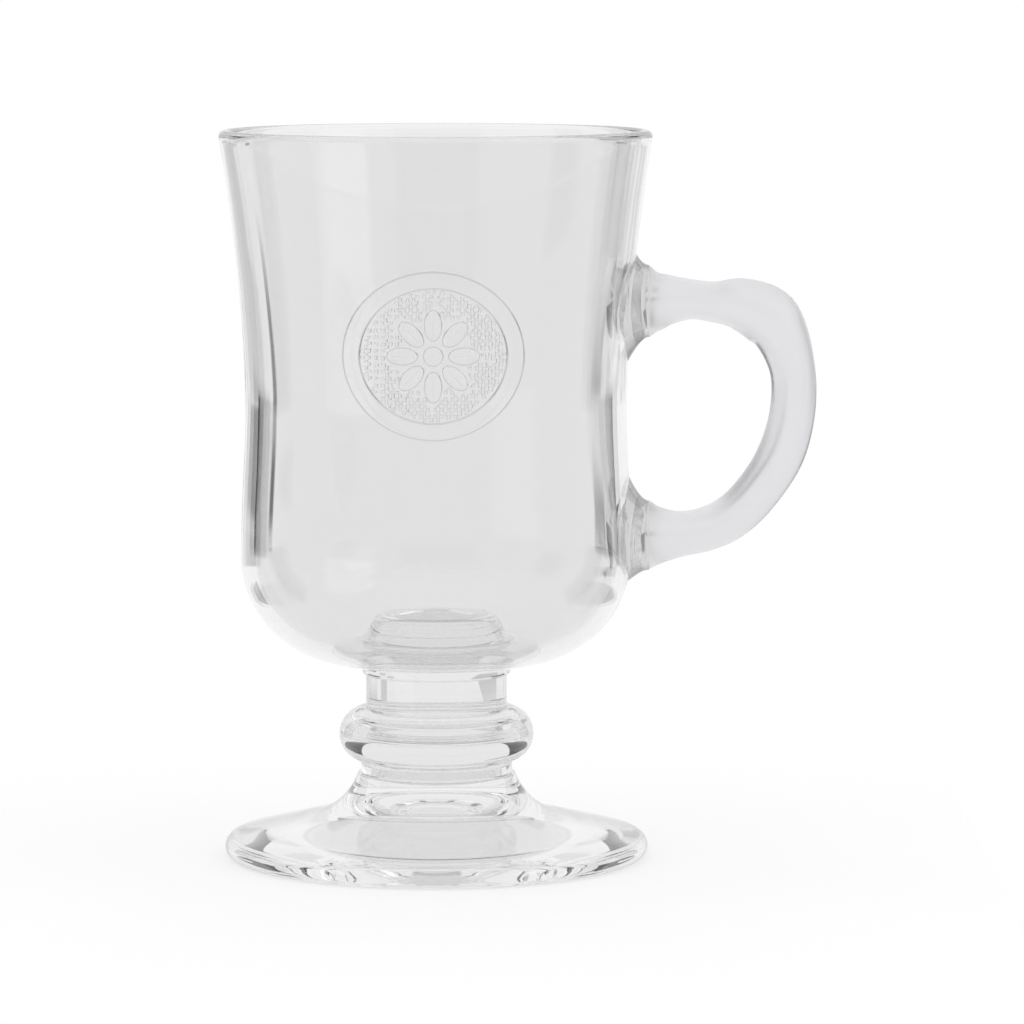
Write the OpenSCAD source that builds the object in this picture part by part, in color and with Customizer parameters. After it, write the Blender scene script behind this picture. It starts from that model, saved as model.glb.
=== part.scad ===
// Footed glass mug for hot drinks: a flared bowl on a knopped stem and a domed foot, with a looped handle.
// Millimetres. The origin is at the centre of the foot's resting ring, +Z is up and the handle points to +X.
// Every piece is a gather of glass of its own. They are joined hot, face to face, from the foot upwards.

/* [Foot] */
// Diameter of the foot
foot_d = 76.6; // [70:0.2:84]
// Height of the foot, up to the lower collar
foot_h = 15.1; // [14.5:0.1:17]
// Radius of the foot's rounded edge
foot_edge_r = 2; // [1.6:0.1:2.4]
// Slope of the foot's top, in degrees
foot_slope = 14.3; // [12:0.1:16]
// Radius of the hollow curve where the foot's top turns up to the collar
foot_fillet_r = 11.5; // [9:0.5:13]
// Width of the flat ring that the mug rests on
foot_ring_w = 9.4; // [7:0.2:12]
// Diameter of the dome in the middle of the foot's underside
foot_dome_d = 36; // [32:0.5:40]
// Height of the dome's edge, up to which the underside rises as a cone from the ring
foot_cone_h = 4.3; // [3:0.1:5]
// Height of the dome's top
foot_dome_h = 10.5; // [8:0.1:11.5]

/* [Stem] */
// Diameter of the collar between the foot and the knop
lower_collar_d = 27.4; // [26.6:0.1:28.6]
// Height of the lower collar
lower_collar_h = 2.3; // [1.6:0.1:3]
// Largest diameter of the knop
knop_d = 35.2; // [32:0.1:38]
// Radius of the knop's rounded bead
knop_bead_r = 4.9; // [4:0.1:5.5]
// Diameter of the neck above the knop
neck_d = 25.5; // [24:0.1:26]
// Height of the neck above the knop's bead
neck_h = 6; // [4:0.1:8]
// Diameter of the collar between the neck and the bowl
upper_collar_d = 26.8; // [26:0.1:28.6]
// Height of the upper collar
upper_collar_h = 2.2; // [1.6:0.1:3]
// Rounding of the collars' edges
collar_edge_r = 0.5; // [0.2:0.1:0.7]

/* [Bowl] */
// Height of the bowl, from its underside to the rim
bowl_h = 95.9; // [90:0.5:102]
// Outer diameter of the rim
rim_d = 77.8; // [74:0.2:82]
// Outer diameter at the waist
waist_d = 68.6; // [67:0.2:70]
// Outer diameter of the belly, under the waist
belly_d = 70.5; // [69.5:0.1:73]
// Height of the waist above the bowl's underside
waist_h = 47.6; // [42:0.5:52]
// Radius of the bowl's rounded heel
heel_r = 19.5; // [16:0.5:20]
// Thickness of the wall, and of the floor round its boss
wall_t = 2.6; // [2:0.1:3]
// Thickness of the rounded lip
lip_t = 2.4; // [1.8:0.1:3]
// Diameter of the boss in the middle of the floor, where it meets the floor
boss_d = 30.2; // [26:0.2:30.4]
// Height of the boss above the floor
boss_h = 5.8; // [4:0.1:7]
// Slope of the boss's side, in degrees
boss_slope = 65; // [55:1:70]
// Rounding of the boss's upper edge
boss_edge_r = 3; // [2:0.1:3.4]
// Rounding between the boss and the floor
boss_fillet_r = 2.5; // [1.5:0.1:3]

/* [Handle] */
// Reach of the handle's middle line beyond the bowl's waist
handle_reach = 30.1; // [27:0.5:34]
// Distance from the waist's surface to the plane where pad and handle meet
pad_reach = 4; // [3.6:0.1:5]
// Height between the middles of the handle's two ends
handle_h = 42.3; // [38:0.5:46]
// Height of the handle's lower end above the bowl's underside
handle_base_h = 22.9; // [21:0.5:24]
// Thickness of the handle at its outermost point
handle_t = 8.1; // [7:0.1:9.5]
// Width of the handle
handle_w = 11.2; // [9:0.1:13]
// Height that a pad's flare adds on the side of the finger gap
pad_inner_flare = 4.4; // [3:0.1:6]
// Height that a pad's flare adds on the far side
pad_outer_flare = 2; // [1:0.1:3]
// Width that a pad's flare adds on each side
pad_side_flare = 2.6; // [1:0.1:3.5]

/* [Seal] */
// Width of the oval seal, seen from the front
seal_w = 31.8; // [28:0.2:36]
// Height of the seal
seal_h = 29.6; // [27:0.2:34]
// Height of the seal's middle above the bowl's underside
seal_mid_h = 57.8; // [54:0.5:62]
// Thickness of the seal's raised border and rosette
seal_t = 0.6; // [0.4:0.1:1]
// Width of the raised border
seal_border_w = 3.2; // [2:0.1:4]
// Thickness of the sunk field inside the border
seal_field_t = 0.3; // [0.2:0.05:0.35]
// Distance from the rosette's middle to its petals' tips
petal_reach = 8.2; // [6.5:0.1:9]
// Width of a petal
petal_w = 3.2; // [2:0.1:3.6]
// Diameter of the rosette's eye
eye_d = 3.6; // [3:0.1:4.2]
// Gap between the eye and the petals
eye_gap = 0.8; // [0.5:0.1:1.2]

/* [Hidden] */
$fn = 96;
arc_steps = 16;
wall_steps = 30;
overrun = 5;
clear_glass = [0.86, 0.89, 0.90, 0.45];
satin_glass = [0.94, 0.94, 0.95, 0.9];
// The wall bows out from waist to rim: its radius grows with this power of the height
flare_power = 1.65;
petal_count = 8;
// How full the handle's section is: 2 is an ellipse, and more is squarer
section_power = 2.4;
section_sides = 30;
// Middle line of the handle from its upper end, over the bend, to its lower end. Each row gives
// a share of the reach beyond the pads, of the height, of the thickness and of the width
handle_shares = [
    [0.000, 1.000, 1.600, 1.24],
    [0.060, 1.001, 1.320, 1.13],
    [0.153, 1.006, 1.080, 1.06],
    [0.295, 1.007, 0.885, 1.00],
    [0.448, 0.996, 0.905, 1.00],
    [0.632, 0.986, 1.170, 1.00],
    [0.816, 0.934, 1.345, 1.02],
    [0.916, 0.851, 1.190, 1.02],
    [0.985, 0.723, 1.020, 1.00],
    [1.000, 0.605, 1.000, 1.00],
    [0.978, 0.482, 1.015, 1.00],
    [0.920, 0.359, 1.040, 1.00],
    [0.820, 0.246, 1.010, 1.00],
    [0.676, 0.134, 0.995, 1.00],
    [0.536, 0.064, 0.990, 1.00],
    [0.383, 0.024, 0.975, 1.00],
    [0.222, 0.006, 1.010, 1.04],
    [0.084, 0.000, 1.250, 1.12],
    [0.000, 0.000, 1.550, 1.24]
];
ring_steps = 3;
pad_steps = 6;
pad_flare_power = 1.8;
// Part of its reach that a pad goes on below the wall's surface, before the bowl is cut out of it
pad_sink_share = 0.15;

lower_collar_z = foot_h;
knop_z = lower_collar_z + lower_collar_h;
upper_collar_z = knop_z + 2 * knop_bead_r + neck_h;
bowl_z = upper_collar_z + upper_collar_h;
heel_top_z = bowl_z + heel_r;
waist_z = bowl_z + waist_h;
lip_z = bowl_z + bowl_h - lip_t / 2;
seal_z = bowl_z + seal_mid_h;
belly_r = belly_d / 2;
waist_r = waist_d / 2;
rim_r = rim_d / 2;
pad_end_x = waist_r + pad_reach;
handle_low_z = bowl_z + handle_base_h;
handle_high_z = handle_low_z + handle_h;

function arc(c, r, from, to, n = arc_steps) =
    [for (i = [0:n]) let (a = from + (to - from) * i / n) c + r * [cos(a), sin(a)]];

function reversed(points) = [for (i = [len(points) - 1:-1:0]) points[i]];

// Foot: a coned top between a round edge and a hollow curve up to the collar. Below are a flat ring to
// rest on, a cone and a dome

function foot_outline() =
    let (
        edge = [foot_d / 2 - foot_edge_r, foot_edge_r],
        cone_start = edge + foot_edge_r * [sin(foot_slope), cos(foot_slope)],
        fillet_x = lower_collar_d / 2 + foot_fillet_r,
        fillet_z = cone_start[1] + (cone_start[0] - fillet_x) * tan(foot_slope)
            + foot_fillet_r / cos(foot_slope),
        crease_a = 180 + asin((fillet_z - foot_h) / foot_fillet_r),
        dome_rise = foot_dome_h - foot_cone_h,
        dome_r = (pow(foot_dome_d / 2, 2) + pow(dome_rise, 2)) / (2 * dome_rise),
        dome_a = asin(foot_dome_d / 2 / dome_r)
    )
    concat(
        [[0, foot_h]],
        arc([fillet_x, fillet_z], foot_fillet_r, crease_a, 270 - foot_slope),
        arc(edge, foot_edge_r, 90 - foot_slope, -90),
        [[edge[0] - foot_ring_w, 0]],
        arc([0, foot_dome_h - dome_r], dome_r, 90 - dome_a, 90)
    );

module foot() {
    color(clear_glass)
        rotate_extrude()
            polygon(foot_outline());
}

// Stem: two thin collars, with a bead-shaped knop and its neck between them

module collar(d, h) {
    edge_x = d / 2 - collar_edge_r;
    rotate_extrude()
        polygon(concat(
            [[0, 0]],
            arc([edge_x, collar_edge_r], collar_edge_r, -90, 0, arc_steps / 2),
            arc([edge_x, h - collar_edge_r], collar_edge_r, 0, 90, arc_steps / 2),
            [[0, h]]
        ));
}

module lower_collar() {
    color(clear_glass)
        translate([0, 0, lower_collar_z])
            collar(lower_collar_d, lower_collar_h);
}

module upper_collar() {
    color(clear_glass)
        translate([0, 0, upper_collar_z])
            collar(upper_collar_d, upper_collar_h);
}

module knop() {
    core_r = knop_d / 2 - knop_bead_r;
    neck_a = acos((neck_d / 2 - core_r) / knop_bead_r);
    neck_top = 2 * knop_bead_r + neck_h;
    color(clear_glass)
        translate([0, 0, knop_z])
            rotate_extrude()
                polygon(concat(
                    [[0, 0]],
                    arc([core_r, knop_bead_r], knop_bead_r, -90, neck_a, 2 * arc_steps),
                    [[neck_d / 2, neck_top], [0, neck_top]]
                ));
}

// Bowl: a round heel, a belly that eases into the waist, and a wall that bows out to the rim. The floor
// is as thin as the wall, apart from a boss in its middle over the stem

function ease(t) = t * t * (3 - 2 * t);

// Outer radius of the bowl's side at height z
function wall_r(z) =
    z < heel_top_z
        ? belly_r - heel_r + sqrt(pow(heel_r, 2) - pow(heel_top_z - z, 2))
        : z < waist_z
            ? belly_r + (waist_r - belly_r) * ease((z - heel_top_z) / (waist_z - heel_top_z))
            : waist_r + (rim_r - waist_r) * pow((z - waist_z) / (lip_z - waist_z), flare_power);

// Side of the bowl above a height, moved out by one offset up to the waist and by another at the lip
function side_outline(from_z, waist_offset, lip_offset) =
    [for (i = [1:wall_steps])
        let (
            z = from_z + (lip_z - from_z) * i / wall_steps,
            t = max(0, (z - waist_z) / (lip_z - waist_z))
        )
        [wall_r(z) + waist_offset + (lip_offset - waist_offset) * t, z]];

function outer_outline(offset = 0) = concat(
    [[0, bowl_z - offset]],
    arc([belly_r - heel_r, heel_top_z], heel_r + offset, -90, 0),
    side_outline(heel_top_z, offset, offset)
);

// Inside of the bowl: over the boss, down its side to the floor, and up along the heel and the wall
function inner_outline() =
    let (
        floor_z = bowl_z + wall_t,
        boss_top_z = floor_z + boss_h,
        boss_foot_x = boss_d / 2,
        rounding = boss_edge_r + boss_fillet_r,
        side_l = (boss_h - rounding * (1 - cos(boss_slope))) / sin(boss_slope),
        boss_top_x = boss_foot_x - rounding * sin(boss_slope) - side_l * cos(boss_slope)
    )
    concat(
        [[0, boss_top_z]],
        arc([boss_top_x, boss_top_z - boss_edge_r], boss_edge_r, 90, 90 - boss_slope, arc_steps / 2),
        arc([boss_foot_x, floor_z + boss_fillet_r], boss_fillet_r, 270 - boss_slope, 270, arc_steps / 2),
        arc([belly_r - heel_r, heel_top_z], heel_r - wall_t, -90, 0),
        side_outline(heel_top_z, -wall_t, -lip_t)
    );

module bowl() {
    lip = arc([rim_r - lip_t / 2, lip_z], lip_t / 2, 0, 180);
    color(clear_glass)
        rotate_extrude()
            polygon(concat(
                outer_outline(),
                [for (i = [1:arc_steps - 1]) lip[i]],
                reversed(inner_outline())
            ));
}

// All that lies inside the bowl's outer surface, or inside a skin of that thickness on it
module filled_bowl(skin = 0) {
    rotate_extrude()
        polygon(concat(outer_outline(skin), [[0, lip_z]]));
}

// Seal: an oval medallion on the front of the bowl, with a rosette in a sunk field inside a raised border

// An upright shape pushed through the front wall, centred on the seal
module through_front() {
    translate([0, 0, seal_z])
        rotate([90, 0, 0])
            linear_extrude(height = rim_r + overrun)
                children();
}

module oval(w, h) {
    scale([w / h, 1])
        circle(d = h);
}

module rosette() {
    petal_l = petal_reach - eye_d / 2 - eye_gap;
    circle(d = eye_d);
    for (i = [0:petal_count - 1])
        rotate(360 * i / petal_count)
            translate([petal_reach - petal_l / 2, 0])
                oval(petal_l, petal_w);
}

module seal() {
    color(clear_glass)
        difference() {
            intersection() {
                filled_bowl(seal_t);
                through_front()
                    oval(seal_w, seal_h);
            }
            filled_bowl();
            difference() {
                through_front()
                    difference() {
                        oval(seal_w - 2 * seal_border_w, seal_h - 2 * seal_border_w);
                        rosette();
                    }
                filled_bowl(seal_field_t);
            }
        }
}

// Handle and its pads: closed skins over rows of rounded sections

// Points of a rounded section with half sizes of one, as [in the handle's plane, along Y]
function unit_section() =
    [for (i = [0:section_sides - 1])
        let (a = 360 * i / section_sides, c = cos(a), s = sin(a), p = 2 / section_power)
        [sign(c) * pow(abs(c), p), sign(s) * pow(abs(s), p)]];

module loft(rings) {
    m = len(rings[0]);
    last = len(rings) - 1;
    sides = [for (i = [0:last - 1], j = [0:m - 1], half = [0, 1])
        let (a = i * m + j, b = i * m + (j + 1) % m)
        half == 0 ? [a, b, b + m] : [a, b + m, a + m]];
    caps = [for (j = [1:m - 2], end = [0, 1])
        end == 0 ? [0, j + 1, j] : [last * m, last * m + j, last * m + j + 1]];
    polyhedron(points = [for (r = rings) each r], faces = concat(sides, caps));
}

// Smooth curve through the middle two of four rows
function curve(a, b, c, d, t) =
    b + t * (c - a) / 2 + t * t * (2 * a - 5 * b + 4 * c - d) / 2
      + t * t * t * (3 * b - a - 3 * c + d) / 2;

function share_row(i) = handle_shares[max(0, min(len(handle_shares) - 1, i))];

function handle_row(u) =
    let (i = min(floor(u), len(handle_shares) - 2))
    curve(share_row(i - 1), share_row(i), share_row(i + 1), share_row(i + 2), u - i);

function handle_point(u) =
    let (r = handle_row(u))
    [pad_end_x + (handle_reach - pad_reach) * r[0], handle_low_z + handle_h * r[1]];

module handle() {
    rows = len(handle_shares) - 1;
    count = rows * ring_steps;
    rings = [for (i = [0:count])
        let (
            u = rows * i / count,
            r = handle_row(u),
            ahead = handle_point(min(rows, u + 1 / ring_steps)) - handle_point(max(0, u - 1 / ring_steps)),
            run = i == 0 ? [1, 0] : i == count ? [-1, 0] : ahead / norm(ahead),
            middle = handle_point(u)
        )
        [for (s = unit_section())
            let (off = s[0] * handle_t * r[2] / 2)
            [middle[0] - run[1] * off, s[1] * handle_w * r[3] / 2, middle[1] + run[0] * off]]];
    color(satin_glass)
        loft(rings);
}

// A pad grows from the handle's end section to a wider foot that follows the curve of the wall
module handle_pad(z, gap_side, end_row) {
    half_t = handle_t * end_row[2] / 2;
    half_w = handle_w * end_row[3] / 2;
    rings = [for (k = [-1:pad_steps])
        let (
            f = max(0, k) / pad_steps * (1 + pad_sink_share) - pad_sink_share,
            grown = pow(1 - f, pad_flare_power),
            gap_t = half_t + pad_inner_flare * grown,
            far_t = half_t + pad_outer_flare * grown
        )
        [for (s = unit_section())
            let (
                y = -s[1] * (half_w + pad_side_flare * grown),
                up = z + gap_side * (gap_t - far_t) / 2 + s[0] * (gap_t + far_t) / 2,
                wall_x = sqrt(pow(wall_r(up), 2) - pow(y, 2))
            )
            [k < 0 ? waist_r - overrun : wall_x + (pad_end_x - wall_x) * f, y, up]]];
    difference() {
        loft(rings);
        filled_bowl();
    }
}

module upper_handle_pad() {
    color(clear_glass)
        handle_pad(handle_high_z, -1, share_row(0));
}

module lower_handle_pad() {
    color(clear_glass)
        handle_pad(handle_low_z, 1, share_row(len(handle_shares) - 1));
}

foot();
lower_collar();
knop();
upper_collar();
bowl();
seal();
upper_handle_pad();
lower_handle_pad();
handle();
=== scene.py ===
# %% [markdown]
# # A footed glass mug, modelled and lit in Blender
#
# The mug is made of nine pieces of clear glass that were joined while they were hot. The exact solids come
# first, as a frame that fixes every size. Each cell then makes one piece again with smooth, fine surfaces,
# because clear glass shows every facet: light bends at each face, and a coarse one shows as a kink.

# %% Load the solids and note their box
import math
import random

import bpy
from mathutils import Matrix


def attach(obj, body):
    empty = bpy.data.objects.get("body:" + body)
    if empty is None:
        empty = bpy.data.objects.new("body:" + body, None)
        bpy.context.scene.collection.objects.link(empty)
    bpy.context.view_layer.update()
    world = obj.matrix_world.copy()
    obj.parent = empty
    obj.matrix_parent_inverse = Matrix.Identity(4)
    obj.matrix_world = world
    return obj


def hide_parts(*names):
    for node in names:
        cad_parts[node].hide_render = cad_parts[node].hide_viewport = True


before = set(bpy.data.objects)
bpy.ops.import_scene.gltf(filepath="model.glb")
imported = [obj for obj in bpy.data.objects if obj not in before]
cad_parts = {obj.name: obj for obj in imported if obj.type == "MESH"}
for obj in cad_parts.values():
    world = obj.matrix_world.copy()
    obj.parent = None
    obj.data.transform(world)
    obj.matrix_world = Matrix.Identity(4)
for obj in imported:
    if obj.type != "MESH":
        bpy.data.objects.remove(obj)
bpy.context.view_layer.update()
MM = 0.001
print("nodes:", ", ".join(sorted(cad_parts)))

# %% [markdown]
# ## The camera
#
# The photograph was taken with a long lens from about a metre away, a little above the rim. That shows the
# rim as a thin ellipse and keeps the sides almost free of perspective. The mug stands left of the middle,
# because the handle fills the right, so the camera stands a little to the right of the mug's axis.

# %% Camera
CAMERA_AT = (13.67, -967.6, 163.5)
# How far the camera looks down, in degrees
CAMERA_DOWN = 5.96
CAMERA_LENS, SENSOR_W = 189.63, 36

bpy.ops.object.camera_add(
    location=[v * MM for v in CAMERA_AT], rotation=(math.radians(90 - CAMERA_DOWN), 0, 0)
)
camera = bpy.context.object
camera.name = "studio_camera"
camera.data.sensor_width = SENSOR_W
camera.data.lens = CAMERA_LENS
bpy.context.scene.camera = camera
print("camera:", round(camera.data.lens, 1), "mm lens")

# %% [markdown]
# ## Sizes
#
# These are the same sizes as the solids have, in millimetres, because this script can't read their source.
# The seams are the heights at which one turned piece sits on the next.

# %% Sizes of the turned pieces
# The foot: radius, rounded edge, slope of the top in degrees, and the hollow curve up to the stem
FOOT_R, FOOT_EDGE_R, FOOT_SLOPE, FOOT_FILLET_R = 38.3, 2.0, 14.3, 11.5
# Under the foot: width of the resting ring, height of the cone, and the dome's radius and top
FOOT_RING_W, FOOT_CONE_H, FOOT_DOME_R, FOOT_DOME_H = 9.4, 4.3, 18.0, 10.5
# The stem: its collars, its bead and its neck, and then the four seams from below
COLLAR_EDGE_R, LOWER_COLLAR_R, UPPER_COLLAR_R = 0.5, 13.7, 13.4
KNOP_R, BEAD_R, NECK_R = 17.6, 4.9, 12.75
FOOT_SEAM, KNOP_SEAM, NECK_SEAM, BOWL_SEAM = 15.1, 17.4, 33.2, 35.4
# The bowl outside: lip, waist, belly and heel, and the power of the curve from the waist to the lip
RIM_Z, RIM_R, LIP_T = 131.3, 38.9, 2.4
WAIST_Z, WAIST_R = 83.0, 34.3
BELLY_R, HEEL_R = 35.25, 19.5
FLARE = 1.65
# The bowl inside: the wall, and the boss in the floor with the slope of its side in degrees
WALL_T = 2.6
BOSS_R, BOSS_H, BOSS_SLOPE, BOSS_EDGE_R, BOSS_FILLET_R = 15.1, 5.8, 65, 3.0, 2.5
# Middle of the round lip, and top of the round heel
LIP_Z = RIM_Z - LIP_T / 2
HEEL_TOP = BOWL_SEAM + HEEL_R

# %% [markdown]
# ## Glass
#
# Clear glass is one shader with full transmission. Pressed and fire-polished glass is never quite even, so a
# very shallow, wide noise tilts the surface a little and the reflections waver. The noise reads Object
# coordinates, so it stays on the piece from every side.
#
# Light that grazes thick glass runs a long way through it and comes out darker. That draws the dark outlines
# The dark outlines of the lip, the foot, the stem and the handle's roots are painted shade: these pieces take
# a darker tint where they are seen along their surface, standing in for the dark edges of thick glass. A
# layer weight tells how far a face is turned away. The thin wall has one tint all over.
# Where two hot pieces meet there is no surface left between them. If both meshes kept one there, light would
# bend and reflect at a boundary that real glass doesn't have. So the faces of a seam get a material of their
# own that lets light straight through, and the nine pieces look like the one body of glass that they became.

# %% Glass materials
GLASS_IOR = 1.5
# Depth of the surface's ripple in millimetres, and its scale on polished and on matt glass
RIPPLE, WIDE_RIPPLE, FINE_RIPPLE = 0.02, 60, 120


def grey(level):
    return (level, level, level, 1)


def glass(name, tint, roughness=0, ripple_scale=WIDE_RIPPLE):
    material = bpy.data.materials.new(name)
    material.use_nodes = True
    nodes, links = material.node_tree.nodes, material.node_tree.links
    shader = nodes["Principled BSDF"]
    shader.inputs["Base Color"].default_value = tint
    shader.inputs["Transmission Weight"].default_value = 1
    shader.inputs["IOR"].default_value = GLASS_IOR
    shader.inputs["Roughness"].default_value = roughness
    place = nodes.new("ShaderNodeTexCoord")
    noise = nodes.new("ShaderNodeTexNoise")
    noise.inputs["Scale"].default_value = ripple_scale
    noise.inputs["Detail"].default_value = 1
    bump = nodes.new("ShaderNodeBump")
    bump.inputs["Distance"].default_value = RIPPLE * MM
    links.new(place.outputs["Object"], noise.inputs["Vector"])
    links.new(noise.outputs["Fac"], bump.inputs["Height"])
    links.new(bump.outputs["Normal"], shader.inputs["Normal"])
    return material


def paint_edge_shade(material, painted_edge_tint, start, end):
    """Paints shade: glass seen along its surface takes a darker tint than glass seen square on."""
    nodes, links = material.node_tree.nodes, material.node_tree.links
    shader = nodes["Principled BSDF"]
    weight = nodes.new("ShaderNodeLayerWeight")
    ease_in = nodes.new("ShaderNodeMapRange")
    ease_in.interpolation_type = "SMOOTHSTEP"
    ease_in.inputs["From Min"].default_value = start
    ease_in.inputs["From Max"].default_value = end
    blend = nodes.new("ShaderNodeMix")
    blend.data_type = "RGBA"
    blend.inputs["A"].default_value = shader.inputs["Base Color"].default_value
    blend.inputs["B"].default_value = grey(painted_edge_tint)
    links.new(weight.outputs["Facing"], ease_in.inputs["Value"])
    links.new(ease_in.outputs["Result"], blend.inputs["Factor"])
    links.new(blend.outputs["Result"], shader.inputs["Base Color"])


def seam_material():
    material = bpy.data.materials.new("fused_seam")
    material.use_nodes = True
    nodes, links = material.node_tree.nodes, material.node_tree.links
    nodes.remove(nodes["Principled BSDF"])
    through = nodes.new("ShaderNodeBsdfTransparent")
    links.new(through.outputs["BSDF"], nodes["Material Output"].inputs["Surface"])
    return material


wall_glass = glass("wall_mug_glass", grey(0.86))
thick_glass = glass("thick_mug_glass", grey(0.80))
satin_glass = glass("satin_mug_glass", (0.78, 0.78, 0.80, 1), roughness=0.3, ripple_scale=FINE_RIPPLE)
# The handle's roots take a darker tint all over: painted shade where the handle meets the wall
root_shade_glass = glass("root_painted_shade_glass", grey(0.64))
lip_glass = glass("lip_mug_glass", grey(0.88))
foot_glass = glass("foot_mug_glass", grey(0.88))
# The seal's steep faces are matt, which is real, and grey, which is painted shade that draws the relief
shaded_edge_glass = glass("matt_shaded_edge_glass", grey(0.62), roughness=0.25, ripple_scale=FINE_RIPPLE)
# Painted shade: the lip, foot, stem and roots darken where they are seen along their surface
paint_edge_shade(root_shade_glass, painted_edge_tint=0.01, start=0.35, end=0.9)
paint_edge_shade(lip_glass, painted_edge_tint=0.02, start=0.55, end=0.97)
paint_edge_shade(thick_glass, painted_edge_tint=0.4, start=0.6, end=0.98)
paint_edge_shade(foot_glass, painted_edge_tint=0.2, start=0.75, end=0.93)
fused_seam = seam_material()
finishes = (wall_glass, thick_glass, satin_glass, root_shade_glass, lip_glass, foot_glass, shaded_edge_glass, fused_seam)
print("materials:", ", ".join(finish.name for finish in finishes))

# %% [markdown]
# ## Helpers for modelling
#
# An operator works on all that is selected, and a new primitive comes in selected. So each step first clears
# the selection, and then picks points or faces in code by where they are.

# %% Select and finish
# Places closer than this, in millimetres or as a share of a length, count as one
NEAR = 0.001
# Faces that meet at less than this angle, in degrees, are shaded as one smooth surface
SMOOTH_ANGLE = 35
# Material slots of a piece: its glass, the fused seam, and a third where one is needed
GLASS_SLOT, SEAM_SLOT, THIRD_SLOT = 0, 1, 2


def clear_selection():
    if bpy.context.object and bpy.context.object.mode != "OBJECT":
        bpy.ops.object.mode_set(mode="OBJECT")
    bpy.ops.object.select_all(action="DESELECT")


def make_active(piece):
    clear_selection()
    piece.select_set(True)
    bpy.context.view_layer.objects.active = piece


def select_points(piece, wanted):
    """Leaves edit mode open with only the points selected whose place passes the test."""
    make_active(piece)
    bpy.ops.object.mode_set(mode="EDIT")
    bpy.ops.mesh.select_mode(type="VERT")
    bpy.ops.mesh.select_all(action="DESELECT")
    bpy.ops.object.mode_set(mode="OBJECT")
    for point in piece.data.vertices:
        point.select = wanted(*(v / MM for v in point.co))
    bpy.ops.object.mode_set(mode="EDIT")


def face_outwards(piece):
    make_active(piece)
    bpy.ops.object.mode_set(mode="EDIT")
    bpy.ops.mesh.select_all(action="SELECT")
    bpy.ops.mesh.normals_make_consistent(inside=False)
    bpy.ops.object.mode_set(mode="OBJECT")


def close_end(piece):
    """Fills the selected ring with a face that is part of a seam."""
    bpy.ops.mesh.edge_face_add()
    piece.active_material_index = SEAM_SLOT
    bpy.ops.object.material_slot_assign()


def empty_piece(name):
    """A mesh with nothing in it, left open in edit mode for rings and other shapes to be added."""
    clear_selection()
    bpy.ops.mesh.primitive_circle_add(vertices=3, radius=MM)
    piece = bpy.context.object
    piece.name = name
    bpy.ops.object.mode_set(mode="EDIT")
    bpy.ops.mesh.delete(type="VERT")
    return piece


def finish_piece(piece, node):
    make_active(piece)
    bpy.ops.object.transform_apply(location=True, rotation=True, scale=True)
    bpy.ops.object.shade_smooth_by_angle(angle=math.radians(SMOOTH_ANGLE))
    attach(piece, "root")
    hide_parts(node)
    print(piece.name, len(piece.data.polygons), "faces")


def arc(centre, radius, start, end, steps=16):
    """Points on an arc, by angles in degrees from the +r direction."""
    angles = [math.radians(start + (end - start) * i / steps) for i in range(steps + 1)]
    return [(centre[0] + radius * math.cos(a), centre[1] + radius * math.sin(a)) for a in angles]


# %% [markdown]
# ## Turned pieces
#
# Foot, collars, knop and bowl are all round about one axis. Their outline is drawn as a hand would draw it:
# a small plane is merged to one point, the point is extruded along the outline, and the line is spun. An
# outline that starts and ends on the axis gives a closed solid.

# %% A piece turned from its outline
TURN_STEPS = 192


def turned(name, outline, seams, glass_material):
    """Spins an outline of (r, z) in mm. A seam is the height and the radius of a flat face that is fused."""
    clear_selection()
    bpy.ops.mesh.primitive_plane_add(size=MM)
    piece = bpy.context.object
    piece.name = name
    piece.data.materials.append(glass_material)
    piece.data.materials.append(fused_seam)
    bpy.ops.object.mode_set(mode="EDIT")
    bpy.ops.mesh.merge(type="CENTER")
    bpy.ops.transform.translate(value=(outline[0][0] * MM, 0, outline[0][1] * MM))
    for here, there in zip(outline, outline[1:]):
        step = ((there[0] - here[0]) * MM, 0, (there[1] - here[1]) * MM)
        bpy.ops.mesh.extrude_region_move(TRANSFORM_OT_translate={"value": step})
    bpy.ops.mesh.select_all(action="SELECT")
    bpy.ops.mesh.spin(steps=TURN_STEPS, angle=math.tau, center=(0, 0, 0), axis=(0, 0, 1))
    bpy.ops.mesh.select_all(action="SELECT")
    bpy.ops.mesh.remove_doubles(threshold=NEAR * MM)
    bpy.ops.mesh.normals_make_consistent(inside=False)
    bpy.ops.object.mode_set(mode="OBJECT")
    for face in piece.data.polygons:
        x, y, z = (v / MM for v in face.center)
        if any(abs(z - height) < NEAR and math.hypot(x, y) < radius for height, radius in seams):
            face.material_index = SEAM_SLOT
    return piece


# %% [markdown]
# ## The foot
#
# A wide disc with a rounded edge. Its top rises as a shallow cone and then turns up in a hollow curve to the
# stem. Below, the mug stands on a flat ring and doesn't rock. Inside the ring the underside rises as a cone
# and then as a dome, and both show through the clear top: the ring's inner edge as a line across the foot's
# front, and the dome as an oval near the stem.

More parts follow.
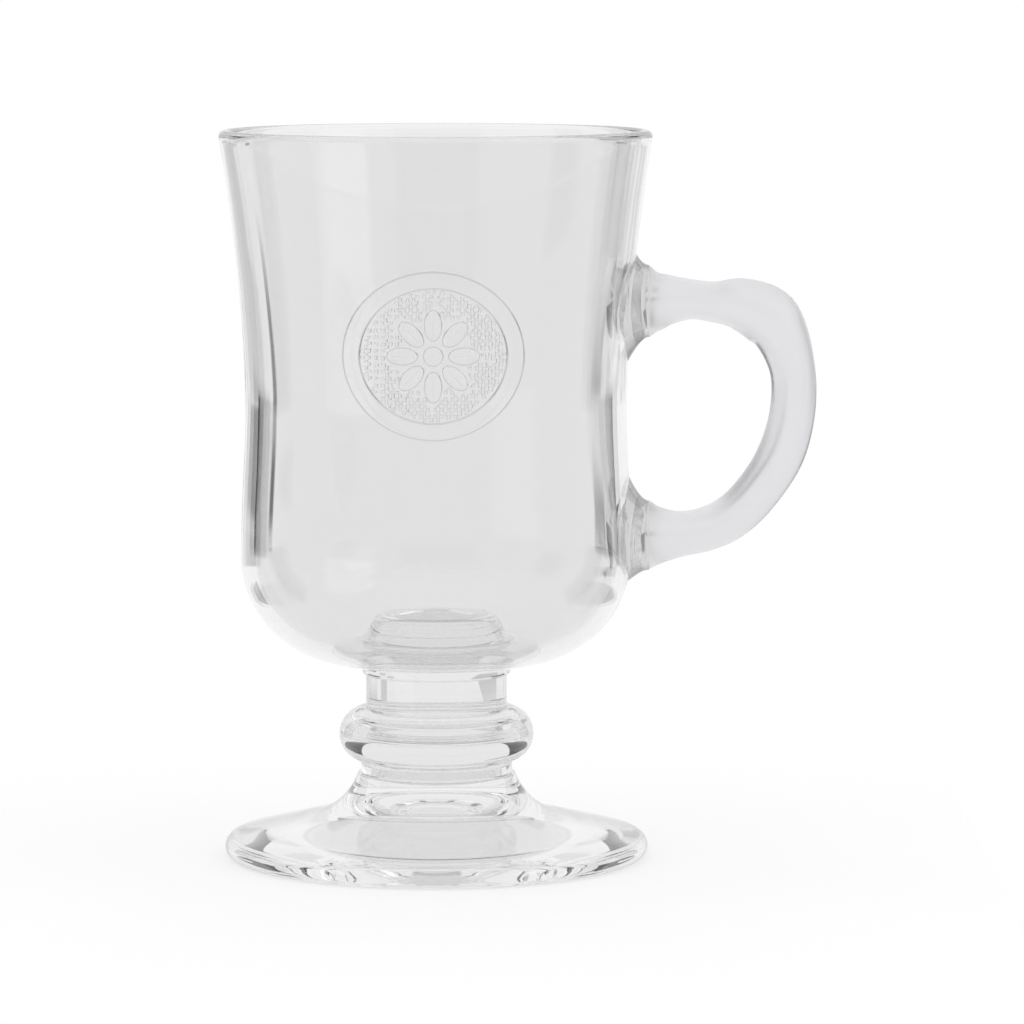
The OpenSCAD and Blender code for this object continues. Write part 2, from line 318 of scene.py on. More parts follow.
# %% Foot
FILLET_STEPS, EDGE_STEPS, DOME_STEPS = 24, 20, 24
FOOT_SEAM_R = LOWER_COLLAR_R - COLLAR_EDGE_R
edge_at = (FOOT_R - FOOT_EDGE_R, FOOT_EDGE_R)
slope = math.radians(FOOT_SLOPE)
cone_r = edge_at[0] + FOOT_EDGE_R * math.sin(slope)
cone_z = edge_at[1] + FOOT_EDGE_R * math.cos(slope)
fillet_r = LOWER_COLLAR_R + FOOT_FILLET_R
fillet_z = cone_z + (cone_r - fillet_r) * math.tan(slope) + FOOT_FILLET_R / math.cos(slope)
crease = 180 + math.degrees(math.asin((fillet_z - FOOT_SEAM) / FOOT_FILLET_R))
dome_rise = FOOT_DOME_H - FOOT_CONE_H
dome_r = (FOOT_DOME_R**2 + dome_rise**2) / (2 * dome_rise)
dome_angle = math.degrees(math.asin(FOOT_DOME_R / dome_r))
foot_outline = (
    [(0, FOOT_SEAM), (FOOT_SEAM_R, FOOT_SEAM)]
    + arc((fillet_r, fillet_z), FOOT_FILLET_R, crease, 270 - FOOT_SLOPE, FILLET_STEPS)
    + arc(edge_at, FOOT_EDGE_R, 90 - FOOT_SLOPE, -90, EDGE_STEPS)
    + [(edge_at[0] - FOOT_RING_W, 0)]
    + arc((0, FOOT_DOME_H - dome_r), dome_r, 90 - dome_angle, 90, DOME_STEPS)
)
foot = turned("foot_disc", foot_outline, [(FOOT_SEAM, FOOT_SEAM_R)], foot_glass)
finish_piece(foot, "foot")

# %% [markdown]
# ## The stem
#
# Two thin collars with soft edges, and between them a knop: a round bead with a short neck above it. Each
# collar is a line of light and shade in the photograph, because its edge bends light on its own.

# %% Collars and knop
COLLAR_STEPS, BEAD_STEPS = 8, 40
# Height of the band of faces at the top of the neck's straight side
NECK_BAND = 3


def collar_outline(bottom, top, radius, seam_below, seam_above):
    """A disc with soft edges. A seam that is narrower than the disc's flat face gets a ring of its own."""
    flat_r = radius - COLLAR_EDGE_R
    low = arc((flat_r, bottom + COLLAR_EDGE_R), COLLAR_EDGE_R, -90, 0, COLLAR_STEPS)
    high = arc((flat_r, top - COLLAR_EDGE_R), COLLAR_EDGE_R, 0, 90, COLLAR_STEPS)
    below = [(r, bottom) for r in (0, seam_below) if r < flat_r - NEAR]
    above = [(r, top) for r in (seam_above, 0) if r < flat_r - NEAR]
    return below + low + high + above


bead_core = KNOP_R - BEAD_R
neck_angle = math.degrees(math.acos((NECK_R - bead_core) / BEAD_R))
BOWL_SEAM_R = UPPER_COLLAR_R - COLLAR_EDGE_R
knop_outline = (
    [(0, KNOP_SEAM)]
    + arc((bead_core, KNOP_SEAM + BEAD_R), BEAD_R, -90, neck_angle, BEAD_STEPS)
    + [(NECK_R, NECK_SEAM - NECK_BAND), (NECK_R, NECK_SEAM), (0, NECK_SEAM)]
)
lower_collar = turned(
    "lower_collar_disc",
    collar_outline(FOOT_SEAM, KNOP_SEAM, LOWER_COLLAR_R, FOOT_SEAM_R, bead_core),
    [(FOOT_SEAM, FOOT_SEAM_R), (KNOP_SEAM, bead_core)],
    thick_glass,
)
finish_piece(lower_collar, "lower_collar")
knop = turned("knop_bead", knop_outline, [(KNOP_SEAM, bead_core), (NECK_SEAM, NECK_R)], thick_glass)
finish_piece(knop, "knop")
upper_collar = turned(
    "upper_collar_disc",
    collar_outline(NECK_SEAM, BOWL_SEAM, UPPER_COLLAR_R, NECK_R, BOWL_SEAM_R),
    [(NECK_SEAM, NECK_R), (BOWL_SEAM, BOWL_SEAM_R)],
    thick_glass,
)
finish_piece(upper_collar, "upper_collar")

# %% [markdown]
# ## The bowl
#
# The heel is a quarter circle. Above it the wall eases in to a waist and then bows out to a round lip. The
# inside follows the outside at the wall's thickness, also round the heel and along the floor. Only over the
# stem does the floor rise, in a low flat boss. It shows in the photograph as a short bright line, its top
# seen nearly edge-on, over two curved sides.

# %% Bowl outline
HEEL_STEPS, WALL_STEPS, LIP_STEPS = 36, 60, 20
# Width of the ring of faces at the edge of the boss's flat top
BOSS_BAND = 0.3


def ease(t):
    return t * t * (3 - 2 * t)


def wall_r(z):
    """Outer radius of the bowl's side at height z, in mm."""
    if z < HEEL_TOP:
        return BELLY_R - HEEL_R + math.sqrt(HEEL_R**2 - (HEEL_TOP - z) ** 2)
    if z < WAIST_Z:
        return BELLY_R + (WAIST_R - BELLY_R) * ease((z - HEEL_TOP) / (WAIST_Z - HEEL_TOP))
    return WAIST_R + (RIM_R - WAIST_R) * ((z - WAIST_Z) / (LIP_Z - WAIST_Z)) ** FLARE


def side(waist_offset, lip_offset):
    """Places up the wall from the heel to the lip. Above the waist one offset passes into the other."""
    heights = [HEEL_TOP + (LIP_Z - HEEL_TOP) * i / WALL_STEPS for i in range(1, WALL_STEPS + 1)]
    blend = [max(0, (z - WAIST_Z) / (LIP_Z - WAIST_Z)) for z in heights]
    return [(wall_r(z) + waist_offset + (lip_offset - waist_offset) * t, z) for z, t in zip(heights, blend)]


heel_middle = (BELLY_R - HEEL_R, HEEL_TOP)
floor_z = BOWL_SEAM + WALL_T
boss_z = floor_z + BOSS_H
lean = math.radians(BOSS_SLOPE)
rounding = BOSS_EDGE_R + BOSS_FILLET_R
boss_side = (BOSS_H - rounding * (1 - math.cos(lean))) / math.sin(lean)
boss_top_r = BOSS_R - rounding * math.sin(lean) - boss_side * math.cos(lean)
inside = (
    [(0, boss_z), (boss_top_r - BOSS_BAND, boss_z)]
    + arc((boss_top_r, boss_z - BOSS_EDGE_R), BOSS_EDGE_R, 90, 90 - BOSS_SLOPE)
    + arc((BOSS_R, floor_z + BOSS_FILLET_R), BOSS_FILLET_R, 270 - BOSS_SLOPE, 270)
    + arc(heel_middle, HEEL_R - WALL_T, -90, 0, HEEL_STEPS)
    + side(-WALL_T, -LIP_T)
)
bowl_outline = (
    [(0, BOWL_SEAM), (BOWL_SEAM_R, BOWL_SEAM)]
    + arc(heel_middle, HEEL_R, -90, 0, HEEL_STEPS)
    + side(0, 0)
    + arc((RIM_R - LIP_T / 2, LIP_Z), LIP_T / 2, 0, 180, LIP_STEPS)[1:-1]
    + inside[::-1]
)
bowl = turned("bowl_wall", bowl_outline, [(BOWL_SEAM, BOWL_SEAM_R)], wall_glass)
print("bowl:", len(bowl.data.polygons), "faces")

# %% [markdown]
# ## Fitting pieces to the wall
#
# The pads and the seal sit on a curved wall. They are modelled flat, with one axis as the depth, and then
# each point is moved so that depth nought lies on the wall. A ribbon with the piece's outline, laid on the
# wall in the same way, is cut into the bowl. The wall inside that cut becomes seam, as at the stem.

# %% Lay a flat model on the wall
RING_SIDES = 64


def lay_on_side(piece, end_x):
    """x is a share of the way from the wall to end_x, y and z are in place."""
    for point in piece.data.vertices:
        share, y, z = point.co.x / MM, point.co.y / MM, point.co.z / MM
        wall_x = math.sqrt(wall_r(z) ** 2 - y**2)
        point.co.x = (wall_x + (end_x - wall_x) * share) * MM


def lay_on_front(piece):
    """-y is the depth in front of the wall, x and z are in place."""
    for point in piece.data.vertices:
        x, depth, z = point.co.x / MM, -point.co.y / MM, point.co.z / MM
        point.co.y = -math.sqrt((wall_r(z) + depth) ** 2 - x**2) * MM


def ring(x, z, half_height, half_width):
    """An oval ring that faces +X, added to the mesh in edit mode."""
    middle = (x * MM, 0, z * MM)
    bpy.ops.mesh.primitive_circle_add(
        vertices=RING_SIDES, radius=MM, location=middle, rotation=(0, math.radians(90), 0)
    )
    bpy.ops.transform.resize(value=(1, half_width, half_height), center_override=middle)


# %% [markdown]
# ## The handle pads
#
# Each pad is a gather of glass that flares from the handle's end to a wider foot on the wall, more on the
# side of the finger gap. Rings of the right size are added along it and bridged, which is Blender's way to
# skin a row of sections.

# %% Pads
# Middle heights of the handle's two ends, and how far out they meet the pads
HANDLE_LOW, HANDLE_HIGH = 58.3, 100.6
PAD_END_X = 38.3
HANDLE_T, HANDLE_W = 8.1, 11.2
# How much a pad grows towards the gap, away from it and to each side, and the power of that curve
PAD_GAP_FLARE, PAD_FAR_FLARE, PAD_SIDE_FLARE, PAD_FLARE_POWER = 4.4, 2.0, 2.6, 1.8
PAD_RINGS = 14
# Rings in the pad's face on the wall, and their spacing, so that the face can follow the wall
PAD_FOOT_RINGS, PAD_FOOT_STEP = 6, 1.1
# Each pad's height, the side of it where the gap lies, and its end's thickness and width as shares
UPPER_PAD = (HANDLE_HIGH, -1, 1.60, 1.24)
LOWER_PAD = (HANDLE_LOW, 1, 1.55, 1.24)


def pad_section(z, gap_side, end_t, end_w, share):
    """Middle height, half height and half width of a pad at a share of its length."""
    grown = (1 - share) ** PAD_FLARE_POWER
    gap_t = HANDLE_T * end_t / 2 + PAD_GAP_FLARE * grown
    far_t = HANDLE_T * end_t / 2 + PAD_FAR_FLARE * grown
    middle = z + gap_side * (gap_t - far_t) / 2
    return middle, (gap_t + far_t) / 2, HANDLE_W * end_w / 2 + PAD_SIDE_FLARE * grown


def handle_pad(name, z, gap_side, end_t, end_w):
    pad = empty_piece(name)
    for i in range(PAD_RINGS + 1):
        share = i / PAD_RINGS
        ring(share, *pad_section(z, gap_side, end_t, end_w, share))
    bpy.ops.mesh.select_all(action="SELECT")
    bpy.ops.mesh.bridge_edge_loops(type="SINGLE")
    bpy.ops.object.mode_set(mode="OBJECT")
    pad.data.materials.append(root_shade_glass)
    pad.data.materials.append(fused_seam)
    select_points(pad, lambda x, y, z: x > 1 - NEAR)
    close_end(pad)
    select_points(pad, lambda x, y, z: x < NEAR)
    close_end(pad)
    for _ in range(PAD_FOOT_RINGS):
        bpy.ops.mesh.inset(thickness=PAD_FOOT_STEP * MM)
    bpy.ops.object.mode_set(mode="OBJECT")
    lay_on_side(pad, PAD_END_X)
    face_outwards(pad)
    return pad


upper_pad = handle_pad("upper_pad_gather", *UPPER_PAD)
finish_piece(upper_pad, "upper_handle_pad")
lower_pad = handle_pad("lower_pad_gather", *LOWER_PAD)
finish_piece(lower_pad, "lower_handle_pad")

# %% [markdown]
# ## The handle
#
# One bar of glass, bent into a loop. It is thick where it leaves the pads, thin on the upper arm, thickest at
# the shoulder where it turns down, and even from there to the lower pad. The table gives its middle line and
# its section as shares, and a smooth curve runs through the rows. Each section is a ring turned to face along
# the bar, and all the rings are bridged.

# %% Handle
# Reach of the middle line beyond the pads
HANDLE_REACH = 26.1
# Shares of the reach, of the height between the ends, of the thickness and of the width
HANDLE_SHARES = [
    (0.000, 1.000, 1.600, 1.24), (0.060, 1.001, 1.320, 1.13), (0.153, 1.006, 1.080, 1.06),
    (0.295, 1.007, 0.885, 1.00), (0.448, 0.996, 0.905, 1.00), (0.632, 0.986, 1.170, 1.00),
    (0.816, 0.934, 1.345, 1.02), (0.916, 0.851, 1.190, 1.02), (0.985, 0.723, 1.020, 1.00),
    (1.000, 0.605, 1.000, 1.00), (0.978, 0.482, 1.015, 1.00), (0.920, 0.359, 1.040, 1.00),
    (0.820, 0.246, 1.010, 1.00), (0.676, 0.134, 0.995, 1.00), (0.536, 0.064, 0.990, 1.00),
    (0.383, 0.024, 0.975, 1.00), (0.222, 0.006, 1.010, 1.04), (0.084, 0.000, 1.250, 1.12),
    (0.000, 0.000, 1.550, 1.24),
]
RINGS_PER_ROW = 5


def handle_row(u):
    """The four shares at a place between rows, on a smooth curve through them."""
    last = len(HANDLE_SHARES) - 1
    i = min(int(u), last - 1)
    a, b, c, d = (HANDLE_SHARES[max(0, min(last, j))] for j in (i - 1, i, i + 1, i + 2))
    t = u - i
    return [
        q + t * (r - p) / 2 + t**2 * (2 * p - 5 * q + 4 * r - s) / 2 + t**3 * (3 * q - p - 3 * r + s) / 2
        for p, q, r, s in zip(a, b, c, d)
    ]


def handle_point(u):
    row = handle_row(u)
    return PAD_END_X + HANDLE_REACH * row[0], HANDLE_LOW + (HANDLE_HIGH - HANDLE_LOW) * row[1]


handle = empty_piece("handle_bar")
rows = len(HANDLE_SHARES) - 1
last_ring = rows * RINGS_PER_ROW
for i in range(last_ring + 1):
    u = i / RINGS_PER_ROW
    x, z = handle_point(u)
    before = handle_point(max(0, u - 1 / RINGS_PER_ROW))
    after = handle_point(min(rows, u + 1 / RINGS_PER_ROW))
    heading = math.atan2(after[1] - before[1], after[0] - before[0])
    if i in (0, last_ring):
        heading = 0 if i == 0 else math.pi
    _, _, thick, wide = handle_row(u)
    middle = (x * MM, 0, z * MM)
    bpy.ops.mesh.primitive_circle_add(vertices=RING_SIDES, radius=MM, location=middle)
    bpy.ops.transform.resize(value=(HANDLE_T * thick / 2, HANDLE_W * wide / 2, 1), center_override=middle)
    bpy.ops.transform.rotate(value=heading - math.radians(90), orient_axis="Y", center_override=middle)
bpy.ops.mesh.select_all(action="SELECT")
bpy.ops.mesh.bridge_edge_loops(type="SINGLE")
bpy.ops.object.mode_set(mode="OBJECT")
handle.data.materials.append(satin_glass)
handle.data.materials.append(fused_seam)
for level in (HANDLE_LOW, HANDLE_HIGH):
    select_points(handle, lambda x, y, z: x < PAD_END_X + NEAR and abs(z - level) < HANDLE_T)
    close_end(handle)
face_outwards(handle)
finish_piece(handle, "handle")

# %% [markdown]
# ## The seal
#
# An oval medallion on the front wall. It is modelled flat: an oval plate, its border left proud and its field
# pressed in, and a rosette of eight rounded petals joined to the field. The plate is cut into a fine grid, so
# that it can follow the wall. In the field round the petals the grid is shaken a little, and every second
# square of it is drawn up to a small blunt dot, as a stippled mould leaves them. A mould's steep edges come
# out a little matt, and those faces get a material of their own. Its grey tint is painted shade that draws
# the relief, because in an even light clear relief on clear glass hardly shows.

# %% Seal plate
SEAL_W, SEAL_H, SEAL_Z = 31.8, 29.6, 93.2
SEAL_T, SEAL_BORDER, SEAL_FIELD_T = 0.6, 3.2, 0.3
SEAL_SIDES = 128
# How far in and how far up each step goes, at the plate's soft outer edge and from its border to its field
OUTER_STEPS = [(0.14, 0.22), (0.14, 0.18)]
FIELD_STEPS = [(0.2, -0.12), (0.15, -0.18)]


def seal_oval(fill="NOTHING"):
    middle = (0, 0, SEAL_Z * MM)
    bpy.ops.mesh.primitive_circle_add(
        vertices=SEAL_SIDES, radius=MM, fill_type=fill, location=middle, rotation=(math.radians(90), 0, 0)
    )
    bpy.ops.transform.resize(value=(SEAL_W / 2, 1, SEAL_H / 2), center_override=middle)


def step_in(inward, rise, each=False):
    """Insets the selected faces, and then raises what is inside."""
    bpy.ops.mesh.inset(thickness=inward * MM, use_individual=each)
    bpy.ops.transform.translate(value=(0, -rise * MM, 0))


seal = empty_piece("seal_medallion")
seal_oval("NGON")
upright = SEAL_T - sum(rise for _, rise in OUTER_STEPS)
flat_border = SEAL_BORDER - sum(inward for inward, _ in OUTER_STEPS + FIELD_STEPS)
bpy.ops.mesh.extrude_region_move(TRANSFORM_OT_translate={"value": (0, -upright * MM, 0)})
for inward, rise in OUTER_STEPS + [(flat_border, 0)] + FIELD_STEPS:
    step_in(inward, rise)
face_outwards(seal)
print("seal plate:", len(seal.data.polygons), "faces", [round(v / MM, 2) for v in seal.dimensions])


# %% Rosette
PETALS, PETAL_REACH, PETAL_W, EYE_D, EYE_GAP = 8, 8.2, 3.2, 3.6, 0.8
LEAF_SIDES = 48
# The leaves start at this depth inside the plate, so that the union has something to join
LEAF_ROOT = 0.1
# How far in and how far up each step of a leaf's rounding goes
LEAF_STEPS = [(0.2, 0.2), (0.45, 0.07), (0.4, 0.03)]


def leaf(x, z, half_length, half_width, angle):
    middle = (x * MM, -LEAF_ROOT * MM, z * MM)
    bpy.ops.mesh.primitive_circle_add(
        vertices=LEAF_SIDES, radius=MM, fill_type="NGON", location=middle, rotation=(math.radians(90), 0, 0)
    )
    bpy.ops.transform.resize(value=(half_length, 1, half_width), center_override=middle)
    bpy.ops.transform.rotate(value=angle, orient_axis="Y", center_override=middle)


petal_in = EYE_D / 2 + EYE_GAP
petal_middle, petal_half = (PETAL_REACH + petal_in) / 2, (PETAL_REACH - petal_in) / 2
rosette = empty_piece("rosette_leaves")
leaf(0, SEAL_Z, EYE_D / 2, EYE_D / 2, 0)
for i in range(PETALS):
    angle = math.tau * i / PETALS
    middle = (petal_middle * math.cos(angle), SEAL_Z + petal_middle * math.sin(angle))
    leaf(*middle, petal_half, PETAL_W / 2, angle)
bpy.ops.mesh.select_all(action="SELECT")
bpy.ops.mesh.extrude_region_move(TRANSFORM_OT_translate={"value": (0, (LEAF_ROOT - SEAL_FIELD_T) * MM, 0)})
for inward, rise in LEAF_STEPS:
    step_in(inward, rise, each=True)
face_outwards(rosette)
print("rosette:", len(rosette.data.polygons), "faces")
make_active(seal)
union = seal.modifiers.new("raise_rosette", "BOOLEAN")
union.operation = "UNION"
union.solver = "EXACT"
union.object = rosette
bpy.ops.object.modifier_apply(modifier=union.name)
bpy.data.objects.remove(rosette)
print("with rosette:", len(seal.data.polygons), "faces")

# %% Stipple
# Spacing of the grid, how far its points are shaken, and how many cuts it has to each side of the middle
STIPPLE, SHAKE, CUTS = 0.6, 0.17, 25
SHAKE_SEED = 8
# Dots and shaken points keep this far from the border and from the petals
DOT_MARGIN = 0.3
# The field stays smooth between the petals up to this share of their reach
SMOOTH_SHARE = 0.75
# A square of the grid is whole if it has this share of its full area
WHOLE_SHARE = 0.9
# How far in and how far up each step of a dot goes
DOT_STEPS = [(0.1, 0.13), (0.08, 0.04)]


def in_field(x, z):
    """Whether a place is in the field, with the margin between it and the border and the petals."""
    inward = SEAL_BORDER + DOT_MARGIN
    if (x / (SEAL_W / 2 - inward)) ** 2 + ((z - SEAL_Z) / (SEAL_H / 2 - inward)) ** 2 > 1:
        return False
    far, angle = math.hypot(x, z - SEAL_Z), math.atan2(z - SEAL_Z, x)
    off_petal = (angle + math.pi / PETALS) % (math.tau / PETALS) - math.pi / PETALS
    along, across = far * math.cos(off_petal) - petal_middle, far * math.sin(off_petal)
    in_petal = (along / (petal_half + DOT_MARGIN)) ** 2 + (across / (PETAL_W / 2 + DOT_MARGIN)) ** 2 < 1
    return not in_petal and far > SMOOTH_SHARE * PETAL_REACH


def on_field(x, depth, z):
    return abs(depth - SEAL_FIELD_T) < NEAR and in_field(x, z)


make_active(seal)
bpy.ops.object.mode_set(mode="EDIT")
for cut in range(-CUTS, CUTS + 1):
    upright_cut = ((cut * STIPPLE * MM, 0, 0), (1, 0, 0))
    level_cut = ((0, 0, (SEAL_Z + cut * STIPPLE) * MM), (0, 0, 1))
    for place, across in (upright_cut, level_cut):
        bpy.ops.mesh.select_all(action="SELECT")
        bpy.ops.mesh.bisect(plane_co=place, plane_no=across)
bpy.ops.mesh.select_mode(type="FACE")
bpy.ops.mesh.select_all(action="DESELECT")
bpy.ops.object.mode_set(mode="OBJECT")
dots = 0
for face in seal.data.polygons:
    x, depth, z = face.center.x / MM, -face.center.y / MM, face.center.z / MM
    even = (math.floor(x / STIPPLE) + math.floor((z - SEAL_Z) / STIPPLE)) % 2 == 0
    whole = face.area > WHOLE_SHARE * (STIPPLE * MM) ** 2
    face.select = even and whole and on_field(x, depth, z)
    dots += face.select
shaken = random.Random(SHAKE_SEED)
for point in seal.data.vertices:
    x, depth, z = point.co.x / MM, -point.co.y / MM, point.co.z / MM
    if on_field(x, depth, z):
        point.co.x += shaken.uniform(-SHAKE, SHAKE) * MM
        point.co.z += shaken.uniform(-SHAKE, SHAKE) * MM
bpy.ops.object.mode_set(mode="EDIT")
for inward, rise in DOT_STEPS:
    step_in(inward, rise, each=True)
bpy.ops.object.mode_set(mode="OBJECT")
print("stipple:", dots, "dots,", len(seal.data.polygons), "faces")

# %% Finish the seal
# A face is steep if less than this share of its normal points to the front
FRONT_SHARE = 0.87

for finish in (wall_glass, fused_seam, shaded_edge_glass):
    seal.data.materials.append(finish)
# Steep faces take the grey, matt glass: its grey is painted shade along the edges of the relief
for face in seal.data.polygons:
    if face.center.y > -NEAR * MM:
        face.material_index = SEAM_SLOT
    elif abs(face.normal.y) < FRONT_SHARE:
        face.material_index = THIRD_SLOT
    else:
        face.material_index = GLASS_SLOT
make_active(seal)
bpy.ops.object.mode_set(mode="EDIT")
bpy.ops.mesh.select_all(action="SELECT")
bpy.ops.mesh.quads_convert_to_tris(ngon_method="BEAUTY")
bpy.ops.object.mode_set(mode="OBJECT")
lay_on_front(seal)
finish_piece(seal, "seal")

# %% [markdown]
# ## Open the seams in the wall
#
# A ribbon runs round the outline of each pad and of the seal, through the outer surface of the wall only. The
# intersect operator cuts the wall along it. The ribbons are then deleted, and the wall inside each outline
# takes the seam material. Last, the round lip takes its own glass.

# %% Cut the wall along the outlines
# How far a ribbon reaches to each side of the wall's outer surface
RIBBON_REACH = 0.8


def ribbon(add_outline, lay, out_axis):
    strip = empty_piece("cutting_ribbon")
    add_outline()
    inward = [-RIBBON_REACH * MM * v for v in out_axis]
    bpy.ops.transform.translate(value=inward)
    bpy.ops.mesh.extrude_edges_move(TRANSFORM_OT_translate={"value": [-2 * v for v in inward]})
    bpy.ops.object.mode_set(mode="OBJECT")
    lay(strip)
    return strip


def lay_ribbon_on_side(strip):
    for point in strip.data.vertices:
        y, z = point.co.y / MM, point.co.z / MM
        point.co.x += math.sqrt(wall_r(z) ** 2 - y**2) * MM


def select_slot(piece, index):
    """Leaves edit mode open with only the faces selected that have the material in this slot."""
    make_active(piece)
    bpy.ops.object.mode_set(mode="EDIT")
    bpy.ops.mesh.select_mode(type="FACE")
    bpy.ops.mesh.select_all(action="DESELECT")
    bpy.ops.object.mode_set(mode="OBJECT")
    for face in piece.data.polygons:
        face.select = face.material_index == index
    bpy.ops.object.mode_set(mode="EDIT")


strips = [
    ribbon(lambda: ring(0, *pad_section(*UPPER_PAD, 0)), lay_ribbon_on_side, (1, 0, 0)),
    ribbon(lambda: ring(0, *pad_section(*LOWER_PAD, 0)), lay_ribbon_on_side, (1, 0, 0)),
    ribbon(seal_oval, lay_on_front, (0, -1, 0)),
]
print("ribbons:", [len(strip.data.polygons) for strip in strips])
cutting = bpy.data.materials.new("cutting_ribbon")
for strip in strips:
    for finish in (wall_glass, fused_seam, cutting):
        strip.data.materials.append(finish)
    for face in strip.data.polygons:
        face.material_index = THIRD_SLOT
bowl.data.materials.append(cutting)
make_active(bowl)
for strip in strips:
    strip.select_set(True)
bpy.ops.object.join()
select_slot(bowl, THIRD_SLOT)
bpy.ops.mesh.intersect(mode="SELECT_UNSELECT", separate_mode="NONE", solver="EXACT")
select_slot(bowl, THIRD_SLOT)
bpy.ops.mesh.delete(type="FACE")
bpy.ops.object.mode_set(mode="OBJECT")
print("cut bowl:", len(bowl.data.polygons), "faces")

# %% Mark the seams and the lip
# A face this close to the outer surface belongs to it
OUTSIDE_NEAR = 0.5
# No pad and no seal reaches below this height
SEAMS_FROM_Z = BOWL_SEAM + 5


def in_oval(across, up, middle, half_height, half_width):
    return (across / half_width) ** 2 + ((up - middle) / half_height) ** 2 < 1


marked = [0, 0, 0]
footprints = [pad_section(*pad, 0) for pad in (UPPER_PAD, LOWER_PAD)]
for face in bowl.data.polygons:
    x, y, z = (v / MM for v in face.center)
    if z < SEAMS_FROM_Z or abs(math.hypot(x, y) - wall_r(min(z, LIP_Z))) > OUTSIDE_NEAR:
        continue
    hit = [x > 0 and in_oval(y, z, *footprint) for footprint in footprints]
    hit.append(y < 0 and in_oval(x, z, SEAL_Z, SEAL_H / 2, SEAL_W / 2))
    if any(hit):
        face.material_index = SEAM_SLOT
        marked[hit.index(True)] += 1
print("seam faces on the wall:", marked)
bowl.data.materials.pop(index=THIRD_SLOT)
bowl.data.materials.append(lip_glass)
for face in bowl.data.polygons:
    if face.center.z > LIP_Z * MM:
        face.material_index = THIRD_SLOT
finish_piece(bowl, "bowl")

# %% [markdown]
# ## Floor, light and background
#
# The mug stands on a strip of white paper. To the camera, and through the glass, the paper is as white as the
# backdrop, so no edge of it shows, but the light that falls on it is still weaker under the mug and leaves a
# soft shadow.

# %% Floor
# Width and length of the paper
FLOOR_W, FLOOR_L = 200, 800
# The paper's own tint, its roughness, and how much it glows for every ray but a diffuse one
FLOOR_TINT, FLOOR_ROUGHNESS, FLOOR_GLOW = 0.38, 0.9, 0.65

clear_selection()
bpy.ops.mesh.primitive_plane_add(size=FLOOR_W * MM)
floor = bpy.context.object
bpy.ops.object.mode_set(mode="EDIT")
bpy.ops.transform.resize(value=(1, FLOOR_L / FLOOR_W, 1))
bpy.ops.object.mode_set(mode="OBJECT")
floor.name = "white_table"
floor_material = bpy.data.materials.new("white_table")
floor_material.use_nodes = True
nodes, links = floor_material.node_tree.nodes, floor_material.node_tree.links
paper = nodes["Principled BSDF"]
paper.inputs["Base Color"].default_value = grey(FLOOR_TINT)
paper.inputs["Roughness"].default_value = FLOOR_ROUGHNESS
paper.inputs["Specular IOR Level"].default_value = 0
paper.inputs["Emission Color"].default_value = grey(1)
path = nodes.new("ShaderNodeLightPath")
glow = nodes.new("ShaderNodeMath")
glow.operation = "MULTIPLY_ADD"
glow.inputs[1].default_value = -FLOOR_GLOW
glow.inputs[2].default_value = FLOOR_GLOW
links.new(path.outputs["Is Diffuse Ray"], glow.inputs[0])
links.new(glow.outputs["Value"], paper.inputs["Emission Strength"])
floor.data.materials.append(floor_material)
print("floor:", [round(v, 2) for v in floor.dimensions], "m")

# %% [markdown]
# ## Flags and lamps round the mug
#
# Clear glass has no colour of its own: it shows what surrounds it. In a room that is white all round it would
# vanish, so a photographer stands dark flags where only the glass can see them. Each flag is a patch of the
# sky, given by its place and size in degrees. The wall's edges and the thick stem bend the flags into thin
# dark lines that draw the mug's shape. Two wide lamps in front of the mug are made in the same way, with a
# darkness below nought, and leave one soft pale band on the bowl. The camera itself sees plain white.

# %% Flags and lamps
FLAGS = [
    # azimuth from straight behind, half width, lowest and highest elevation in degrees, darkness
    (-34, 14, -8, -5.2, 0.35),
    (-34, 12, -5, -3.6, 0.6),
    (-13, 0.8, -5.9, -4.7, 1),
    (-30, 6, -25, -13, 0.5),
    (20, 3, -6, -5.2, 0.35),
    (28, 3, -6.9, -6, 0.35),
    (36, 3.5, -8.2, -6.9, 0.3),
    (11, 2, -6.2, -5.2, 0.6),
    (12.5, 2.5, -25, -9, 0.6),
    (-47, 30, -55, -16, 0.18),
    (45, 30, -55, -16, 0.4),
    (55, 10, -12.5, -8, 0.7),
    (50, 12, -6, 32, 0.95),
    (-50, 12, -6, 32, 0.95),
    (-97, 10, 6, 30, 0.65),
    (180, 25, 6, 30, 0.45),
]
LAMPS = [(-127, 16, -25, -5, -0.45), (122, 14, 6, 30, -0.45)]
print(len(FLAGS), "flags and", len(LAMPS), "lamps")

# %% World
# Half the width of a flag's soft edge, in degrees
SOFT = 0.4
# Light crosses many surfaces of glass before it leaves the mug
BOUNCES = 128

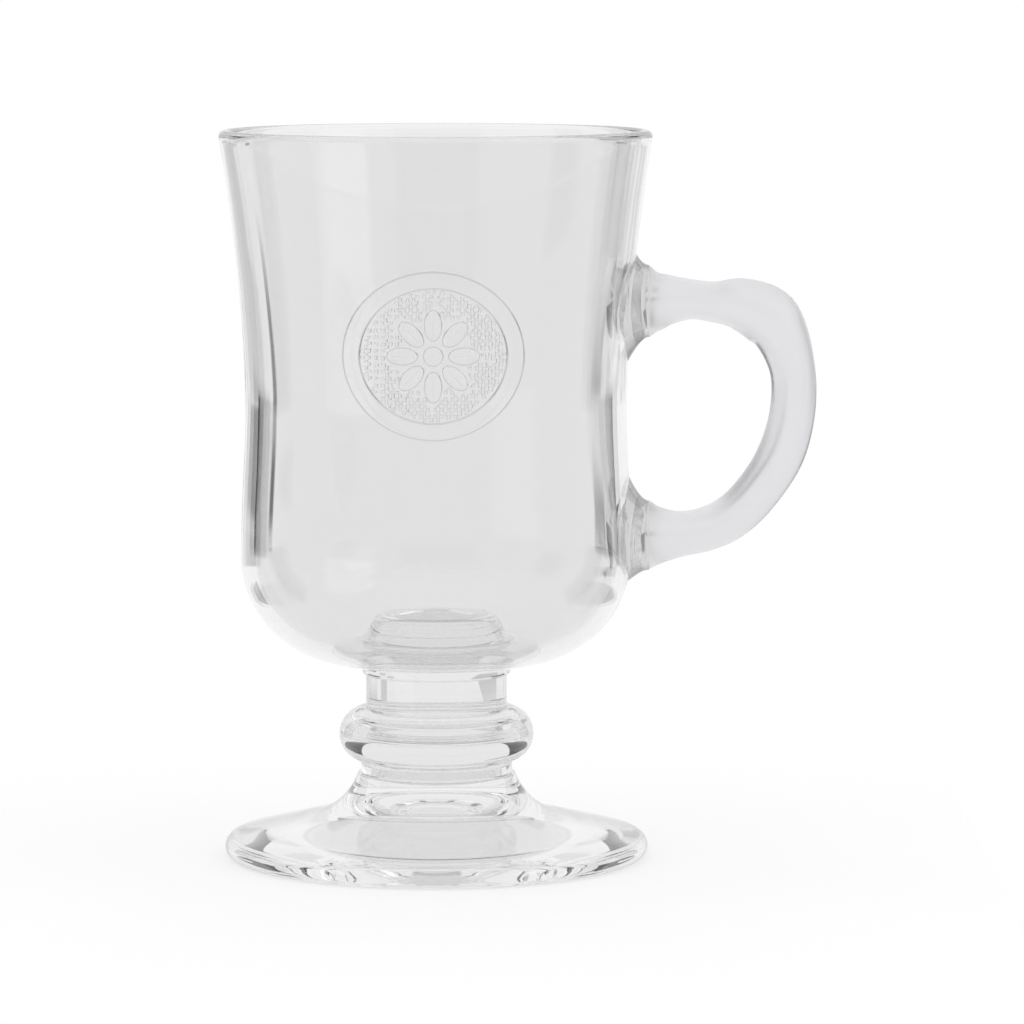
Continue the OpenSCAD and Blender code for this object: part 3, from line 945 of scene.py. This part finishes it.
world = bpy.data.worlds.new("studio")
bpy.context.scene.world = world
world.use_nodes = True
nodes, links = world.node_tree.nodes, world.node_tree.links
background = nodes["Background"]
place = nodes.new("ShaderNodeTexCoord")
split = nodes.new("ShaderNodeSeparateXYZ")
links.new(place.outputs["Generated"], split.inputs["Vector"])


def math_node(operation, first, second=None):
    node = nodes.new("ShaderNodeMath")
    node.operation = operation
    for socket, value in zip(node.inputs, (first, second)):
        if isinstance(value, (int, float)):
            socket.default_value = value
        elif value is not None:
            links.new(value, socket)
    return node.outputs[0]


def soft_step(value, low, high):
    node = nodes.new("ShaderNodeMapRange")
    node.interpolation_type = "SMOOTHSTEP"
    links.new(value, node.inputs["Value"])
    node.inputs["From Min"].default_value = math.radians(low)
    node.inputs["From Max"].default_value = math.radians(high)
    return node.outputs["Result"]


azimuth = math_node("ARCTAN2", split.outputs["X"], split.outputs["Y"])
elevation = math_node("ARCSINE", split.outputs["Z"])
path = nodes.new("ShaderNodeLightPath")
unseen = math_node("SUBTRACT", 1, path.outputs["Is Camera Ray"])
level = None
for middle, half_width, low, high, darkness in FLAGS + LAMPS:
    turned_by = math_node("SUBTRACT", azimuth, math.radians(middle))
    away = math_node("ARCCOSINE", math_node("COSINE", turned_by))
    across = soft_step(away, half_width + SOFT, half_width - SOFT)
    above = soft_step(elevation, low - SOFT, low + SOFT)
    below = soft_step(elevation, high + SOFT, high - SOFT)
    shape = math_node("MULTIPLY", across, math_node("MULTIPLY", above, below))
    shade = math_node("MULTIPLY", math_node("MULTIPLY", shape, darkness), unseen)
    left = math_node("SUBTRACT", 1, shade)
    level = left if level is None else math_node("MULTIPLY", level, left)
links.new(level, background.inputs["Strength"])
background.inputs["Color"].default_value = grey(1)

scene = bpy.context.scene
scene.view_settings.view_transform = "Standard"
scene.cycles.max_bounces = BOUNCES
scene.cycles.transmission_bounces = BOUNCES
scene.cycles.glossy_bounces = BOUNCES
scene.cycles.transparent_max_bounces = BOUNCES
print("world:", len(nodes), "nodes,", BOUNCES, "bounces")
